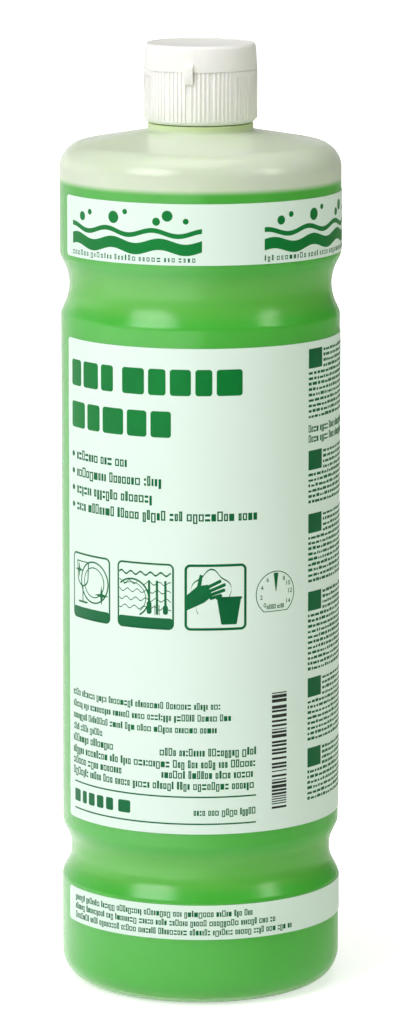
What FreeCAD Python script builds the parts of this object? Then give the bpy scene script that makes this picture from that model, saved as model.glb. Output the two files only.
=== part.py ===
"""One-litre dish soap bottle: blown bottle, soap, three film labels and a one-piece flip-top closure.

Millimetres, +Z up. The origin is the centre of the foot, and the labels' fronts face -Y.
The closure is drawn with its thumb tab towards +X and is then turned to its place on the neck.
"""

import FreeCAD, Part
import Sketcher

import os

# Every size that can be set by itself, and the heights that follow: alias, value, meaning.
SIZES = (
    ("body_radius", 39.0, "bottle, outside, at the foot and the shoulder"),
    ("wall", 0.9, "blown wall"),
    ("label_recess", 0.25, "depth of the main label panel"),
    ("pushup_height", 4.5, "rise of the base's centre"),
    ("pushup_flat", 12.0, "radius of the flat middle of the base"),
    ("pushup_radius", 26.0, "inner radius of the standing ring"),
    ("foot_blend", 8.2, "rounding of the foot"),
    ("waist_depth", 2.6, "depth of both finger grooves"),
    ("waist_ramp", 5.0, "height of each side of a groove"),
    ("low_waist_middle", 37.9, "height of the lower groove"),
    ("low_waist_floor", 5.3, "flat of the lower groove"),
    ("low_waist_blend", 7.0, "hollow rounding of the lower groove"),
    ("waist_distance", 160.0, "from the lower groove up to the upper one"),
    ("high_waist_middle", "=low_waist_middle + waist_distance", "height of the upper groove"),
    ("high_waist_floor", 6.2, "flat of the upper groove"),
    ("high_waist_blend", 12.0, "hollow rounding of the upper groove"),
    ("crest_blend", 2.9, "rounding of the grooves' outer edges"),
    ("shoulder_rise", 38.0, "from the upper groove up to the shoulder's corner"),
    ("shoulder_height", "=high_waist_middle + shoulder_rise", "where the wall's line meets the slope"),
    ("shoulder_slope", 10.0, "degrees above level"),
    ("shoulder_blend", 6.9, "rounding of the shoulder"),
    ("neck_radius", 12.55, "root of the neck's 28 mm thread"),
    ("neck_wall", 1.75, "neck under the thread"),
    ("neck_bore", "=neck_radius - neck_wall", "inside of the neck"),
    ("collar_reach", 2.05, "collar beyond the neck"),
    ("collar_radius", "=neck_radius + collar_reach", "collar below the closure"),
    ("shoulder_climb", "=(body_radius - collar_radius) * tan(shoulder_slope * 1deg)", "slope's rise"),
    ("collar_foot", "=shoulder_height + shoulder_climb", "where the slope meets the collar"),
    ("collar_height", 2.1, "side of the collar"),
    ("collar_top", "=collar_foot + collar_height", "upper face of the collar"),
    ("collar_blend", 0.8, "rounding at the collar's foot"),
    ("neck_height", 13.3, "neck above the collar"),
    ("neck_top", "=collar_top + neck_height", "lip of the neck"),
    ("lip_blend", 0.5, "rounding of the lip"),
    ("liquid_gap", 0.05, "between soap and wall"),
    ("headspace", 9.1, "from the soap's level up to the shoulder's corner"),
    ("fill_height", "=shoulder_height - headspace", "level of the soap"),
    ("label_gap", 0.03, "adhesive under a label"),
    ("label_film", 0.15, "thickness of a label"),
    ("label_wrap", 330.0, "degrees that the labels reach round"),
    ("label_start", -159.0, "degrees from +X to the labels' first edge"),
    ("label_corner", 1.2, "corner radius of a label"),
    ("foot_label_bottom", 19.8, "lower edge of the band on the foot"),
    ("foot_label_margin", 8.4, "from the band on the foot up to the lower groove"),
    ("foot_label_top", "=low_waist_middle - foot_label_margin", "upper edge of the band on the foot"),
    ("main_low_margin", 11.7, "from the lower groove up to the main label"),
    ("main_label_bottom", "=low_waist_middle + main_low_margin", "lower edge of the main label"),
    ("main_high_margin", 13.4, "from the main label up to the upper groove"),
    ("main_label_top", "=high_waist_middle - main_high_margin", "upper edge of the main label"),
    ("top_low_margin", 9.3, "from the upper groove up to the band under the shoulder"),
    ("top_label_bottom", "=high_waist_middle + top_low_margin", "lower edge of the top band"),
    ("top_high_margin", 12.0, "from the band under the shoulder up to the shoulder's corner"),
    ("top_label_top", "=shoulder_height - top_high_margin", "upper edge of the top band"),
    ("cap_turn", -101.8, "degrees from +X to the thumb tab"),
    ("cap_gap", 0.3, "between the collar and the closure"),
    ("thread_room", 1.55, "between the neck's root and the skirt"),
    ("cap_wall", 1.2, "skirt under the ribs"),
    ("rib_depth", 0.4, "grip ribs"),
    ("cap_radius", "=neck_radius + thread_room + cap_wall + rib_depth", "closure, outside"),
    ("cap_chamfer", 0.8, "bevel of the skirt's lower edge"),
    ("deck_wall", 1.35, "closure's deck"),
    ("deck_gap", 0.15, "between the neck's lip and the deck"),
    ("rib_foot", 1.1, "bare skirt under the ribs"),
    ("rib_root_width", 0.8, "rib's width at the skirt"),
    ("rib_crest_width", 0.35, "rib's width at its crest"),
    ("rib_pitch", 4.35, "degrees from rib to rib in a group"),
    ("rib_groups", 15.0, "groups of ribs round the skirt"),
    ("band_height", 1.4, "plain band above the ribs"),
    ("window_angle", 96.0, "degrees of the thumb recess, where the band is missing"),
    ("seal_gap", 0.1, "running clearance of the bore seal in the neck"),
    ("seal_wall", 1.0, "bore seal"),
    ("seal_length", 3.2, "bore seal below the deck"),
    ("orifice_radius", 3.2, "pouring hole"),
    ("spout_wall", 1.8, "round the pouring hole"),
    ("spout_height", 3.2, "spout above the deck"),
    ("snap_gap", 0.4, "between the snap ring and the lid"),
    ("snap_wall", 1.0, "snap ring"),
    ("snap_height", 1.5, "snap ring above the deck"),
    ("lid_gap", 0.1, "seam between the lid and the deck"),
    ("lid_height", 7.3, "lid above the seam"),
    ("lid_draft", 0.45, "how much narrower the lid is at its top"),
    ("lid_top_radius", "=cap_radius - lid_draft", "lid, outside, at its top"),
    ("lid_wall", 1.35, "lid's side"),
    ("lid_roof", 1.2, "lid's top"),
    ("lid_dish", 0.35, "dish in the lid's top"),
    ("lid_rim", 0.55, "rim round the dish, measured inwards"),
    ("lid_blend", 0.5, "rounding of the lid's rim"),
    ("plug_gap", 0.4, "swing clearance of the lid's plug in the pouring hole"),
    ("plug_reach", 1.0, "how far the plug enters the pouring hole"),
    ("plug_taper", 0.35, "how much thicker the plug is at its root"),
    ("tab_width", 2.5, "thumb tab"),
    ("tab_reach", 1.15, "thumb tab beyond the lid"),
    ("tab_rise", 2.7, "thumb tab above the seam"),
    ("tab_drop", 3.2, "thumb tab below the seam"),
    ("tab_clearance", 0.25, "between the thumb tab and the ribs"),
    ("tab_tip", 0.3, "thickness of the thumb tab's lower end"),
    ("hinge_standout", 0.2, "from the closure's side to the hinge line"),
    ("hinge_width", 9.0, "hinge lugs"),
    ("lug_height", 2.6, "hinge lugs"),
    ("strap_width", 8.0, "living hinge"),
    ("strap_film", 0.4, "living hinge"),
    ("strap_half", 0.7, "from the hinge line to each lug"),
    ("strap_gap", 0.15, "between the living hinge and the lid's lug"),
    ("notch_clearance", 0.2, "beside the hinge lugs"),
    ("overshoot", 1.0, "how far cutting shapes run past a face"),
)
RIBS_IN_GROUP = 5
MATCH = 0.01


def make_sheet(doc):
    """Put the driving sizes into the document's sheet, one row each."""
    sheet = doc.addObject("Spreadsheet::Sheet", "Sizes")
    for row, (alias, value, meaning) in enumerate(SIZES, start=1):
        sheet.set(f"A{row}", meaning)
        sheet.set(f"B{row}", str(value))
        sheet.setAlias(f"B{row}", alias)
    doc.recompute()


def new_body(doc, label):
    """A sub-part; its label names its file."""
    body = doc.addObject("PartDesign::Body", label)
    body.Label = label
    return body


def value_of(body, formula):
    """A formula's value in millimetres or degrees."""
    result = body.evalExpression(formula)
    return float(getattr(result, "Value", result))


def new_sketch(body, name, role):
    """A sketch on one of the body's own origin planes."""
    plane = next(f for f in body.Origin.OriginFeatures if f.Role == role)
    sketch = body.newObject("Sketcher::SketchObject", name)
    sketch.AttachmentSupport = (plane, [""])
    sketch.MapMode = "FlatFace"
    return sketch


def draw_outline(body, sketch, points):
    """A closed outline of straight sides; each point is a name and two formulas from the sheet."""
    places = [FreeCAD.Vector(value_of(body, across), value_of(body, up), 0) for _, across, up in points]
    first = sketch.GeometryCount
    count = len(places)
    for i in range(count):
        sketch.addGeometry(Part.LineSegment(places[i], places[(i + 1) % count]), False)
    for i in range(count):
        sketch.addConstraint(Sketcher.Constraint("Coincident", first + i, 2, first + (i + 1) % count, 1))
    for i, (name, across, up) in enumerate(points):
        for kind, suffix, formula, size in (
            ("DistanceX", "across", across, places[i].x),
            ("DistanceY", "up", up, places[i].y),
        ):
            index = sketch.addConstraint(Sketcher.Constraint(kind, -1, 1, first + i, 1, size))
            sketch.renameConstraint(index, f"{name}_{suffix}")
            sketch.setExpression(f"Constraints.{name}_{suffix}", formula)


def revolve(body, name, points, kind="Revolution", angle="360"):
    """Turn an outline, drawn as radius and height, about the body's axis."""
    sketch = new_sketch(body, f"{name}Outline", "XZ_Plane")
    draw_outline(body, sketch, points)
    turned = body.newObject(f"PartDesign::{kind}", name)
    turned.Profile = sketch
    turned.ReferenceAxis = (sketch, ["V_Axis"])
    turned.setExpression("Angle", angle)
    return turned


def round_rings(doc, body, name, rings, radius):
    """Round the circular edges whose radius and height the formulas give."""
    doc.recompute()
    solid = body.Tip
    wanted = [(value_of(body, across), value_of(body, up)) for across, up in rings]
    found = []
    for index, edge in enumerate(solid.Shape.Edges, start=1):
        if not isinstance(edge.Curve, Part.Circle):
            continue
        for across, up in wanted:
            if abs(edge.Curve.Radius - across) < MATCH and abs(edge.Curve.Center.z - up) < MATCH:
                found.append(f"Edge{index}")
    if len(found) < len(wanted):
        raise RuntimeError(f"{body.Label} {name}: {len(found)} edges for {len(wanted)} rings")
    fillet = body.newObject("PartDesign::Fillet", name)
    fillet.Base = (solid, found)
    fillet.setExpression("Radius", radius)


def box_feature(body, name, kind, low, size):
    """An added or cut box from its low corner and its three sizes, as formulas."""
    box = body.newObject(f"PartDesign::{kind}Box", name)
    for key, formula in zip(("Length", "Width", "Height"), size):
        box.setExpression(key, formula)
    for key, formula in zip("xyz", low):
        box.setExpression(f".Placement.Base.{key}", formula)


def turn_about_axis(body, angle):
    """Turn a finished sub-part about the bottle's axis to its place."""
    body.Placement = FreeCAD.Placement(FreeCAD.Vector(), FreeCAD.Vector(0, 0, 1), value_of(body, angle))
    body.setExpression(".Placement.Rotation.Angle", f"{angle} * 1deg")


# Heights and radii that follow from the sheet, shared by mating pieces.
PANEL = "Sizes.body_radius - Sizes.label_recess"
WAIST = "Sizes.body_radius - Sizes.waist_depth"
LOW_FLOOR_BOTTOM = "Sizes.low_waist_middle - Sizes.low_waist_floor / 2"
LOW_FLOOR_TOP = "Sizes.low_waist_middle + Sizes.low_waist_floor / 2"
HIGH_FLOOR_BOTTOM = "Sizes.high_waist_middle - Sizes.high_waist_floor / 2"
HIGH_FLOOR_TOP = "Sizes.high_waist_middle + Sizes.high_waist_floor / 2"
SLOPE = "tan(Sizes.shoulder_slope * 1deg)"
CAP_BOTTOM = "Sizes.collar_top + Sizes.cap_gap"
RIB_ROOT = "Sizes.cap_radius - Sizes.rib_depth"
SKIRT_BORE = "Sizes.cap_radius - Sizes.rib_depth - Sizes.cap_wall"
DECK_UNDER = "Sizes.neck_top + Sizes.deck_gap"
SEAM = "Sizes.neck_top + Sizes.deck_gap + Sizes.deck_wall"
LID_BOTTOM = f"{SEAM} + Sizes.lid_gap"
LID_BORE = "Sizes.cap_radius - Sizes.lid_wall"
HINGE_LINE = f"{SEAM} + Sizes.lid_gap / 2"
HINGE_REACH = "Sizes.cap_radius + Sizes.hinge_standout"
LUG_FACE = f"{HINGE_REACH} + Sizes.strap_film / 2"


def wall_points(inset):
    """The bottle's side from the base's centre to the upper groove, moved inwards by a formula."""
    return [
        ("centre", "0", f"Sizes.pushup_height + {inset}"),
        ("dome", "Sizes.pushup_flat", f"Sizes.pushup_height + {inset}"),
        ("ring", "Sizes.pushup_radius", inset),
        ("foot", f"Sizes.body_radius - {inset}", inset),
        ("low_start", f"Sizes.body_radius - {inset}", f"{LOW_FLOOR_BOTTOM} - Sizes.waist_ramp"),
        ("low_in", f"{WAIST} - {inset}", LOW_FLOOR_BOTTOM),
        ("low_out", f"{WAIST} - {inset}", LOW_FLOOR_TOP),
        ("panel_bottom", f"{PANEL} - {inset}", f"{LOW_FLOOR_TOP} + Sizes.waist_ramp"),
        ("panel_top", f"{PANEL} - {inset}", f"{HIGH_FLOOR_BOTTOM} - Sizes.waist_ramp"),
        ("high_in", f"{WAIST} - {inset}", HIGH_FLOOR_BOTTOM),
        ("high_out", f"{WAIST} - {inset}", HIGH_FLOOR_TOP),
        ("high_end", f"Sizes.body_radius - {inset}", f"{HIGH_FLOOR_TOP} + Sizes.waist_ramp"),
    ]


def round_wall(doc, body, inset):
    """Round the foot and both grooves of a side drawn by wall_points."""
    rings = {name: (across, up) for name, across, up in wall_points(inset)}
    crests = [rings[name] for name in ("low_start", "panel_bottom", "panel_top", "high_end")]
    low = [rings["low_in"], rings["low_out"]]
    high = [rings["high_in"], rings["high_out"]]
    round_rings(doc, body, "Foot", [rings["foot"]], f"Sizes.foot_blend - {inset}")
    round_rings(doc, body, "Crests", crests, f"Sizes.crest_blend - {inset}")
    round_rings(doc, body, "LowWaist", low, f"Sizes.low_waist_blend + {inset}")
    round_rings(doc, body, "HighWaist", high, f"Sizes.high_waist_blend + {inset}")


def make_bottle(doc):
    """The blown bottle: grooved body, sloping shoulder, collar and neck, open at the lip."""
    outer = new_body(doc, "bottle_outside")
    outside = wall_points("0") + [
        ("shoulder", "Sizes.body_radius", "Sizes.shoulder_height"),
        ("collar_foot", "Sizes.collar_radius", "Sizes.collar_foot"),
        ("collar_top", "Sizes.collar_radius", "Sizes.collar_top"),
        ("neck_foot", "Sizes.neck_radius", "Sizes.collar_top"),
        ("lip", "Sizes.neck_radius", "Sizes.neck_top"),
        ("axis", "0", "Sizes.neck_top"),
    ]
    revolve(outer, "Outside", outside)
    round_wall(doc, outer, "0")
    shoulder = [("Sizes.body_radius", "Sizes.shoulder_height")]
    round_rings(doc, outer, "Shoulder", shoulder, "Sizes.shoulder_blend")
    collar = [("Sizes.collar_radius", "Sizes.collar_foot")]
    round_rings(doc, outer, "CollarFoot", collar, "Sizes.collar_blend")
    round_rings(doc, outer, "Lip", [("Sizes.neck_radius", "Sizes.neck_top")], "Sizes.lip_blend")

    inner = new_body(doc, "bottle_inside")
    drop = "Sizes.wall / cos(Sizes.shoulder_slope * 1deg)"
    shoulder_radius = "Sizes.body_radius - Sizes.wall"
    shoulder_under = f"Sizes.shoulder_height - {drop} + Sizes.wall * {SLOPE}"
    bore_foot = f"Sizes.shoulder_height - {drop} + (Sizes.body_radius - Sizes.neck_bore) * {SLOPE}"
    inside = wall_points("Sizes.wall") + [
        ("shoulder", shoulder_radius, shoulder_under),
        ("bore_foot", "Sizes.neck_bore", bore_foot),
        ("bore_top", "Sizes.neck_bore", "Sizes.neck_top + Sizes.overshoot"),
        ("axis", "0", "Sizes.neck_top + Sizes.overshoot"),
    ]
    revolve(inner, "Inside", inside)
    round_wall(doc, inner, "Sizes.wall")
    corner = [(shoulder_radius, shoulder_under)]
    round_rings(doc, inner, "Shoulder", corner, "Sizes.shoulder_blend - Sizes.wall")

    bottle = doc.addObject("Part::Cut", "bottle")
    bottle.Label = "bottle"
    bottle.Base = outer
    bottle.Tool = inner
    return bottle


def make_soap(doc):
    """The soap: fills the bottle to its level, a film's width clear of the wall."""
    body = new_body(doc, "dish_soap")
    inset = "(Sizes.wall + Sizes.liquid_gap)"
    points = wall_points(inset) + [
        ("level", f"Sizes.body_radius - {inset}", "Sizes.fill_height"),
        ("axis", "0", "Sizes.fill_height"),
    ]
    revolve(body, "Fill", points)
    round_wall(doc, body, inset)
    return body


def make_label(doc, label, surface, bottom, top):
    """A film label with rounded corners, wrapped round the bottle and open at the left."""
    body = new_body(doc, label)
    under = f"{surface} + Sizes.label_gap"
    over = f"{under} + Sizes.label_film"
    points = [
        ("under_bottom", under, bottom),
        ("over_bottom", over, bottom),
        ("over_top", over, top),
        ("under_top", under, top),
    ]
    revolve(body, "Wrap", points, angle="Sizes.label_wrap")
    doc.recompute()
    wrap = body.Tip
    film = value_of(body, "Sizes.label_film")
    corners = [
        f"Edge{i}" for i, e in enumerate(wrap.Shape.Edges, start=1)
        if isinstance(e.Curve, Part.Line) and abs(e.Length - film) < MATCH
    ]
    fillet = body.newObject("PartDesign::Fillet", "Corners")
    fillet.Base = (wrap, corners)
    fillet.setExpression("Radius", "Sizes.label_corner")
    turn_about_axis(body, "Sizes.label_start")
    return body


def add_ribs(doc, body):
    """Grip ribs: one group drawn side by side, then the group repeated round the skirt."""
    sketch = new_sketch(body, "RibSection", "XY_Plane")
    sketch.setExpression(".AttachmentOffset.Base.z", f"{CAP_BOTTOM} + Sizes.rib_foot")
    buried = f"({RIB_ROOT} - Sizes.cap_wall / 4)"
    crest = "Sizes.cap_radius"
    for rib in range(RIBS_IN_GROUP):
        angle = f"((0.5 + {rib}) * Sizes.rib_pitch * 1deg)"
        corners = []
        for name, radius, half in (
            ("inner_right", buried, "-Sizes.rib_root_width / 2"),
            ("outer_right", crest, "-Sizes.rib_crest_width / 2"),
            ("outer_left", crest, "Sizes.rib_crest_width / 2"),
            ("inner_left", buried, "Sizes.rib_root_width / 2"),
        ):
            across = f"{radius} * cos({angle}) - ({half}) * sin({angle})"
            up = f"{radius} * sin({angle}) + ({half}) * cos({angle})"
            corners.append((f"rib{rib}_{name}", across, up))
        draw_outline(body, sketch, corners)
    pad = body.newObject("PartDesign::Pad", "RibGroup")
    pad.Profile = sketch
    pad.setExpression("Length", f"{SEAM} - ({CAP_BOTTOM}) - Sizes.rib_foot")
    doc.recompute()
    pattern = body.newObject("PartDesign::PolarPattern", "RibGroups")
    pattern.Originals = [pad]
    pattern.Axis = (sketch, ["N_Axis"])
    pattern.Angle = 360
    pattern.setExpression("Occurrences", "Sizes.rib_groups")
    body.Tip = pattern


def make_cap_base(doc):
    """The closure's base: ribbed skirt, deck, pouring spout, snap ring and bore seal."""
    body = new_body(doc, "cap_base")
    seal_radius = "Sizes.neck_bore - Sizes.seal_gap"
    seal_bottom = f"{DECK_UNDER} - Sizes.seal_length"
    band_bottom = f"{SEAM} - Sizes.band_height"
    spout_radius = "Sizes.orifice_radius + Sizes.spout_wall"
    snap_radius = f"{LID_BORE} - Sizes.snap_gap"
    points = [
        ("skirt_in", SKIRT_BORE, CAP_BOTTOM),
        ("skirt_out", RIB_ROOT, CAP_BOTTOM),
        ("band_root", RIB_ROOT, band_bottom),
        ("band_bottom", "Sizes.cap_radius", band_bottom),
        ("band_top", "Sizes.cap_radius", SEAM),
        ("snap_foot", snap_radius, SEAM),
        ("snap_out", snap_radius, f"{SEAM} + Sizes.snap_height"),
        ("snap_in", f"{snap_radius} - Sizes.snap_wall", f"{SEAM} + Sizes.snap_height"),
        ("deck", f"{snap_radius} - Sizes.snap_wall", SEAM),
        ("spout_foot", spout_radius, SEAM),
        ("spout_out", spout_radius, f"{SEAM} + Sizes.spout_height"),
        ("spout_in", "Sizes.orifice_radius", f"{SEAM} + Sizes.spout_height"),
        ("hole_bottom", "Sizes.orifice_radius", DECK_UNDER),
        ("seal_root_in", f"{seal_radius} - Sizes.seal_wall", DECK_UNDER),
        ("seal_in", f"{seal_radius} - Sizes.seal_wall", seal_bottom),
        ("seal_out", seal_radius, seal_bottom),
        ("seal_root_out", seal_radius, DECK_UNDER),
        ("deck_corner", SKIRT_BORE, DECK_UNDER),
    ]
    revolve(body, "Skirt", points)
    window = [
        ("bottom_in", RIB_ROOT, band_bottom),
        ("bottom_out", "Sizes.cap_radius + Sizes.overshoot", band_bottom),
        ("top_out", "Sizes.cap_radius + Sizes.overshoot", f"{SEAM} + Sizes.overshoot"),
        ("top_in", RIB_ROOT, f"{SEAM} + Sizes.overshoot"),
    ]
    recess = revolve(body, "ThumbRecess", window, kind="Groove", angle="Sizes.window_angle")
    recess.Midplane = True
    doc.recompute()
    skirt = body.Tip
    lower = [
        f"Edge{i}" for i, e in enumerate(skirt.Shape.Edges, start=1)
        if isinstance(e.Curve, Part.Circle)
        and abs(e.Curve.Radius - value_of(body, RIB_ROOT)) < MATCH
        and abs(e.Curve.Center.z - value_of(body, CAP_BOTTOM)) < MATCH
    ]
    chamfer = body.newObject("PartDesign::Chamfer", "SkirtBevel")
    chamfer.Base = (skirt, lower)
    chamfer.setExpression("Size", "Sizes.cap_chamfer")
    add_ribs(doc, body)
    lug_top = f"{HINGE_LINE} - Sizes.strap_half"
    box_feature(
        body, "HingeNotch", "Subtractive",
        (f"-({LUG_FACE}) - Sizes.overshoot", "-Sizes.hinge_width / 2 - Sizes.notch_clearance", lug_top),
        (
            f"{LUG_FACE} + Sizes.overshoot - ({snap_radius}) - Sizes.notch_clearance",
            "Sizes.hinge_width + 2 * Sizes.notch_clearance",
            "Sizes.strap_half + Sizes.overshoot",
        ),
    )
    box_feature(
        body, "HingeLug", "Additive",
        (f"-({LUG_FACE})", "-Sizes.hinge_width / 2", f"{lug_top} - Sizes.lug_height"),
        (f"{LUG_FACE} - ({SKIRT_BORE})", "Sizes.hinge_width", "Sizes.lug_height"),
    )
    turn_about_axis(body, "Sizes.cap_turn")
    return body


def make_lid(doc):
    """The flip lid: dished top, plug for the pouring hole, thumb tab and hinge lug."""
    body = new_body(doc, "flip_lid")
    top = f"{LID_BOTTOM} + Sizes.lid_height"
    dish = f"{top} - Sizes.lid_dish"
    under = f"{dish} - Sizes.lid_roof"
    rim = "Sizes.lid_top_radius - Sizes.lid_rim"
    plug_tip = f"{SEAM} + Sizes.spout_height - Sizes.plug_reach"
    plug_radius = "Sizes.orifice_radius - Sizes.plug_gap"
    points = [
        ("side_in", LID_BORE, LID_BOTTOM),
        ("side_out", "Sizes.cap_radius", LID_BOTTOM),
        ("rim_out", "Sizes.lid_top_radius", top),
        ("rim_in", rim, top),
        ("dish_edge", rim, dish),
        ("dish_centre", "0", dish),
        ("plug_centre", "0", plug_tip),
        ("plug_tip", plug_radius, plug_tip),
        ("plug_root", f"{plug_radius} + Sizes.plug_taper", under),
        ("roof_in", "Sizes.lid_top_radius - Sizes.lid_wall", under),
    ]
    revolve(body, "Lid", points)
    round_rings(doc, body, "Rim", [("Sizes.lid_top_radius", top)], "Sizes.lid_blend")
    add_thumb_tab(body)
    lug_bottom = f"{HINGE_LINE} + Sizes.strap_half"
    box_feature(
        body, "HingeNotch", "Subtractive",
        (
            f"-({LUG_FACE}) - Sizes.overshoot",
            "-Sizes.hinge_width / 2 - Sizes.notch_clearance",
            f"{LID_BOTTOM} - Sizes.overshoot",
        ),
        (
            f"{LUG_FACE} + Sizes.overshoot - ({LID_BORE}) + Sizes.lid_wall",
            "Sizes.hinge_width + 2 * Sizes.notch_clearance",
            "Sizes.strap_half - Sizes.lid_gap / 2 + Sizes.overshoot",
        ),
    )
    box_feature(
        body, "HingeLug", "Additive",
        (f"-({LUG_FACE})", "-Sizes.hinge_width / 2", lug_bottom),
        (f"{LUG_FACE} - ({LID_BORE})", "Sizes.hinge_width", "Sizes.lug_height"),
    )
    turn_about_axis(body, "Sizes.cap_turn")
    return body


def add_thumb_tab(body):
    """The nub that the thumb lifts: thick at the seam, thinning downwards clear of the ribs."""
    clear = "Sizes.cap_radius + Sizes.tab_clearance"
    face = "Sizes.cap_radius + Sizes.tab_reach"
    buried = "Sizes.cap_radius - Sizes.lid_wall / 2"
    bottom = f"{LID_BOTTOM} - Sizes.tab_drop"
    rise = f"{LID_BOTTOM} + Sizes.tab_rise"
    sketch = new_sketch(body, "TabSection", "XZ_Plane")
    draw_outline(body, sketch, [
        ("seam_in", buried, LID_BOTTOM),
        ("seam_out", clear, LID_BOTTOM),
        ("tip_in", clear, bottom),
        ("tip_out", f"{clear} + Sizes.tab_tip", bottom),
        ("face_low", face, LID_BOTTOM),
        ("face_high", face, f"{rise} - Sizes.tab_reach"),
        ("top_out", "Sizes.cap_radius - Sizes.lid_wall / 4", rise),
        ("top_in", buried, rise),
    ])
    tab = body.newObject("PartDesign::Pad", "ThumbTab")
    tab.Profile = sketch
    tab.SideType = "Symmetric"
    tab.setExpression("Length", "Sizes.tab_width")


def make_strap(doc):
    """The living hinge: a thin web between the two lugs, moulded with them."""
    body = new_body(doc, "hinge_strap")
    box_feature(
        body, "Web", "Additive",
        (
            f"-({HINGE_REACH}) - Sizes.strap_film / 2",
            "-Sizes.strap_width / 2",
            f"{HINGE_LINE} - Sizes.strap_half",
        ),
        ("Sizes.strap_film", "Sizes.strap_width", "2 * Sizes.strap_half - Sizes.strap_gap"),
    )
    turn_about_axis(body, "Sizes.cap_turn")
    return body


def check(doc, bodies):
    """Stop if any object failed, or a sub-part isn't one sound solid."""
    for item in doc.Objects:
        if {"Invalid", "Error"} & set(item.State):
            raise RuntimeError(f"{item.Label}: {item.State}")
    for body in bodies:
        shape = body.Shape
        if shape.isNull() or not shape.isValid() or len(shape.Solids) != 1:
            raise RuntimeError(f"{body.Label}: not one sound solid")
        corners = shape.BoundBox
        print(f"{body.Label}: {shape.Volume:.1f} mm3, z {corners.ZMin:.2f} to {corners.ZMax:.2f}")


def main():
    doc = FreeCAD.newDocument("dish_soap_bottle")
    make_sheet(doc)
    bodies = [
        make_bottle(doc),
        make_soap(doc),
        make_label(doc, "top_label", "Sizes.body_radius", "Sizes.top_label_bottom", "Sizes.top_label_top"),
        make_label(doc, "main_label", PANEL, "Sizes.main_label_bottom", "Sizes.main_label_top"),
        make_label(doc, "foot_label", "Sizes.body_radius", "Sizes.foot_label_bottom", "Sizes.foot_label_top"),
        make_cap_base(doc),
        make_lid(doc),
        make_strap(doc),
    ]
    doc.recompute()
    check(doc, bodies)
    os.makedirs("parts", exist_ok=True)
    for body in bodies:
        body.Shape.exportStep(f"parts/{body.Label}.step")


main()
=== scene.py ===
"""Visual model of a one-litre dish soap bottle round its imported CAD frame.

A translucent blown bottle holds green soap, carries three printed film labels and is shut by a white
flip-top closure. Everything is in metres in the frame's own axes: +Z up, the labels' front towards -Y.
"""

import logging
import math
import random
from collections.abc import Iterable, Sequence
from dataclasses import dataclass, field, replace
from enum import Enum

import bmesh
import bpy
from mathutils import Matrix, Vector


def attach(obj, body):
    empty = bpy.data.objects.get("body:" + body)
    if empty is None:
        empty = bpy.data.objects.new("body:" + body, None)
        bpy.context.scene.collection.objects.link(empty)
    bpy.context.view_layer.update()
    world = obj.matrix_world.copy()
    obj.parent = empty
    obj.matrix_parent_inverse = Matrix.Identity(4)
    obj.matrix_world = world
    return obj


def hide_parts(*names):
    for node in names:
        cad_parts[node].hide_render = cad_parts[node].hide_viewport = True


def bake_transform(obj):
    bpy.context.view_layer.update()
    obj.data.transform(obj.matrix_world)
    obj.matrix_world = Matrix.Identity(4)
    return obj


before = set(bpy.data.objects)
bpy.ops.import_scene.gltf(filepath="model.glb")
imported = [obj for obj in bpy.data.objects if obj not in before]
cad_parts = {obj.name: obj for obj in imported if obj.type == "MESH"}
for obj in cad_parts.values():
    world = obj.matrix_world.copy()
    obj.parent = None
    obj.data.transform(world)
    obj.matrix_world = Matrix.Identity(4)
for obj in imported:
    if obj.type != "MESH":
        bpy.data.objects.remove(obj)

LOG = logging.getLogger("dish_soap_bottle")
MM = 0.001
SHARP_EDGE = math.radians(32)
WHITE = (1.0, 1.0, 1.0, 1.0)


def lin(red: int, green: int, blue: int) -> tuple[float, float, float, float]:
    """Turn a screen colour into the linear colour that shaders take.

    Args:
        red: Red, 0 to 255.
        green: Green, 0 to 255.
        blue: Blue, 0 to 255.

    Returns:
        The linear colour with full alpha.
    """
    def one(value: int) -> float:
        """Linear value of one channel."""
        share = value / 255
        return share / 12.92 if share <= 0.04045 else ((share + 0.055) / 1.055) ** 2.4

    return (one(red), one(green), one(blue), 1.0)


class Body(Enum):
    """The moving bodies of the frame."""

    BOTTLE = "bottle"
    CLOSURE = "closure"
    LID = "lid"


class Slot(Enum):
    """The record's material slots."""

    WALL = "bottle_wall"
    SOAP = "soap"
    FILM = "label_film"
    CLOSURE = "closure"


# Node groups and materials.


def feed(tree: bpy.types.NodeTree, node: bpy.types.Node, sockets: dict[str | int, object]) -> None:
    """Feed a node's inputs.

    Args:
        tree: The node tree.
        node: The node.
        sockets: For each input the socket that is linked to it, or its constant.
    """
    for name, value in sockets.items():
        if isinstance(value, bpy.types.NodeSocket):
            tree.links.new(value, node.inputs[name])
        else:
            node.inputs[name].default_value = value


def add_node(
    tree: bpy.types.NodeTree, kind: str, sockets: dict[str | int, object] | None = None, **settings: object
) -> bpy.types.Node:
    """Add a node to a tree.

    Args:
        tree: The node tree.
        kind: Type of the node.
        sockets: What its inputs are fed with.
        **settings: Its own settings, which are made first.

    Returns:
        The new node.
    """
    node = tree.nodes.new(kind)
    for name, value in settings.items():
        setattr(node, name, value)
    feed(tree, node, sockets or {})
    return node


def maths(tree: bpy.types.NodeTree, operation: str, *values: object) -> bpy.types.NodeSocket:
    """Work out one number from sockets and constants."""
    return add_node(tree, "ShaderNodeMath", dict(enumerate(values)), operation=operation).outputs["Value"]


def mixed(tree: bpy.types.NodeTree, share: object, first: object, second: object) -> bpy.types.NodeSocket:
    """Mix two colours by a share."""
    sockets = {"Factor": share, "A": first, "B": second}
    return add_node(tree, "ShaderNodeMix", sockets, data_type="RGBA").outputs["Result"]


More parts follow.
